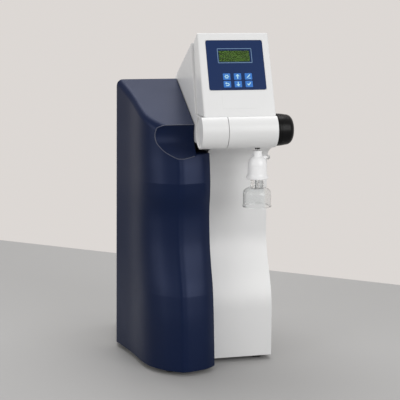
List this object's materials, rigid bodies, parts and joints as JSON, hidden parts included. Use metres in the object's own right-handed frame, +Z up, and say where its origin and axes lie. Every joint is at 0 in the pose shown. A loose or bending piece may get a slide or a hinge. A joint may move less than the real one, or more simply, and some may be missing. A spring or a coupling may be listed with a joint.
{
  "type": "ultrapure water system",
  "caption": "Bench-top ultrapure water system with a navy cartridge door, an S-fronted white column, a leaning control head, a dispense barrel with a knob, and a filter with a clear bell.",
  "frame": {"origin": "middle of the machine's bounding box at the bench, under the feet", "axes": "+X to the user's right, +Y to the back, +Z up; the user stands at -Y"},
  "size_m": [0.298, 0.3853, 0.6169],
  "materials": {
    "housing_white": "satin",
    "head_grey": "satin",
    "chassis_grey": "matte",
    "door_navy": "semi-gloss",
    "steel": "brushed",
    "module_metal": "satin",
    "magnet_black": "matte",
    "foot_rubber": "matte",
    "overlay_blue": "satin",
    "display_clear": "clear",
    "display_green": "matte",
    "key_blue": "satin",
    "board_green": "matte",
    "valve_black": "matte",
    "knob_black": "satin",
    "clear_plastic": "clear",
    "filter_white": "satin",
    "cartridge_white": "matte",
    "fitting_grey": "matte",
    "inlet_black": "satin",
    "rocker_black": "gloss",
    "pump_black": "matte"
  },
  "bodies": {
    "machine": {"front_column": "housing_white", "right_side_panel": "housing_white", "rear_housing": "housing_white", "head_front_shell": "housing_white", "barrel_left_section": "housing_white", "barrel_right_section": "housing_white", "head_rear_shell": "head_grey", "barrel_end_cap": "head_grey", "base_plate": "chassis_grey", "bay_inner_wall": "chassis_grey", "bay_bulkhead": "chassis_grey", "cartridge_tray": "chassis_grey", "cartridge_manifold": "chassis_grey", "back_panel": "chassis_grey", "module_bracket": "chassis_grey", "door_hinge_rod": "steel", "strike_plate": "steel", "pump_motor": "steel", "power_supply": "module_metal", "uv_lamp_housing": "module_metal", "foot_front_left": "foot_rubber", "foot_front_right": "foot_rubber", "foot_rear_left": "foot_rubber", "foot_rear_right": "foot_rubber", "control_overlay": "overlay_blue", "display_lens": "display_clear", "display_module": "display_green", "keypad_board": "board_green", "main_board": "board_green", "valve_body": "valve_black", "knob_collar": "knob_black", "outlet_nozzle": "clear_plastic", "feed_tube": "clear_plastic", "product_tube": "clear_plastic", "pretreatment_cartridge": "cartridge_white", "polishing_cartridge": "cartridge_white", "prefilter_cartridge": "cartridge_white", "ultrafilter": "cartridge_white", "feed_inlet_fitting": "fitting_grey", "return_fitting": "fitting_grey", "drain_fitting": "fitting_grey", "conductivity_cell": "fitting_grey", "solenoid_valve": "fitting_grey", "power_inlet": "inlet_black", "pump_head": "pump_black"},
    "door": {"cartridge_door": "door_navy", "door_magnet": "magnet_black"},
    "knob": {"dispense_knob": "knob_black", "valve_stem": "steel"},
    "final_filter": {"filter_capsule": "filter_white", "filter_outlet_collar": "clear_plastic"},
    "bell": {"filter_bell": "clear_plastic"},
    "vent_cap": {"filter_vent_cap": "clear_plastic"},
    "switch": {"power_switch": "rocker_black"},
    "key_back": {"key_back": "key_blue"},
    "key_down": {"key_down": "key_blue"},
    "key_confirm": {"key_confirm": "key_blue"},
    "key_measure": {"key_measure": "key_blue"},
    "key_up": {"key_up": "key_blue"},
    "key_edit": {"key_edit": "key_blue"}
  },
  "joints": [
    {"name": "door_tilt", "type": "hinge", "parent": "machine", "child": "door", "pos_m": [-0.049, -0.15425, 0.022], "axis": [0.9781, -0.2079, 0], "range_deg": [0, 22]},
    {"name": "knob_turn", "type": "hinge", "parent": "machine", "child": "knob", "pos_m": [0.1194, -0.16125, 0.447], "axis": [1, 0, 0], "range_deg": [0, 90]},
    {"name": "filter_pull", "type": "slide", "parent": "machine", "child": "final_filter", "axis": [0, 0, -1], "range_m": [0, 0.03]},
    {"name": "bell_pull", "type": "slide", "parent": "final_filter", "child": "bell", "axis": [0, 0, -1], "range_m": [0, 0.03]},
    {"name": "vent_cap_pull", "type": "slide", "parent": "final_filter", "child": "vent_cap", "axis": [1, 0, 0], "range_m": [0, 0.01]},
    {"name": "switch_rock", "type": "hinge", "parent": "machine", "child": "switch", "pos_m": [0.078, 0.17875, 0.101], "axis": [1, 0, 0], "range_deg": [0, 12]},
    {"name": "key_measure_press", "type": "slide", "parent": "machine", "child": "key_measure", "axis": [0, 0.9164, -0.4004], "range_m": [0, 0.0005], "stiffness_N_per_m": 400},
    {"name": "key_up_press", "type": "slide", "parent": "machine", "child": "key_up", "axis": [0, 0.9164, -0.4004], "range_m": [0, 0.0005], "stiffness_N_per_m": 400},
    {"name": "key_edit_press", "type": "slide", "parent": "machine", "child": "key_edit", "axis": [0, 0.9164, -0.4004], "range_m": [0, 0.0005], "stiffness_N_per_m": 400},
    {"name": "key_back_press", "type": "slide", "parent": "machine", "child": "key_back", "axis": [0, 0.9164, -0.4004], "range_m": [0, 0.0005], "stiffness_N_per_m": 400},
    {"name": "key_down_press", "type": "slide", "parent": "machine", "child": "key_down", "axis": [0, 0.9164, -0.4004], "range_m": [0, 0.0005], "stiffness_N_per_m": 400},
    {"name": "key_confirm_press", "type": "slide", "parent": "machine", "child": "key_confirm", "axis": [0, 0.9164, -0.4004], "range_m": [0, 0.0005], "stiffness_N_per_m": 400}
  ]
}
